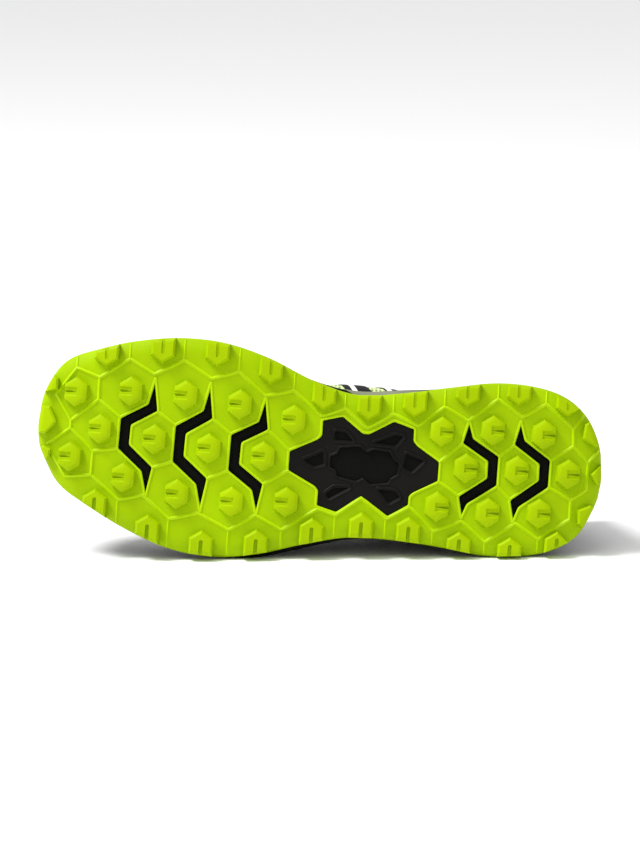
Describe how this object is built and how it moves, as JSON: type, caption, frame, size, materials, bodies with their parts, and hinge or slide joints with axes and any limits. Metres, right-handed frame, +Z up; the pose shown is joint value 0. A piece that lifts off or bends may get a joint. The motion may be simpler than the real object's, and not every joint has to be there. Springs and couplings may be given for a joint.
{
  "type": "trail running shoe",
  "caption": "Low trail running shoe for the right foot with a lugged rubber outsole, foam midsole, laced mesh upper and tongue, lying on its lateral side.",
  "frame": {"origin": "bottom centre of the bounding box, on the floor that the shoe lies on", "axes": "+X from toe to heel, +Y from the sole towards the collar, +Z up, with the medial side on top"},
  "size_m": [0.299, 0.1324, 0.1168],
  "materials": {
    "outsole_rubber": "satin lime rubber",
    "midsole_foam": "matt black foam",
    "upper_mesh": "dark grey mesh",
    "tongue_fabric": "padded mesh",
    "insole_fabric": "brushed cloth on foam",
    "lace_fabric": "flat woven lace"
  },
  "bodies": {
    "root": {"outsole": "outsole_rubber", "midsole": "midsole_foam", "upper": "upper_mesh", "tongue": "tongue_fabric", "insole": "insole_fabric", "laces": "lace_fabric"}
  },
  "joints": []
}
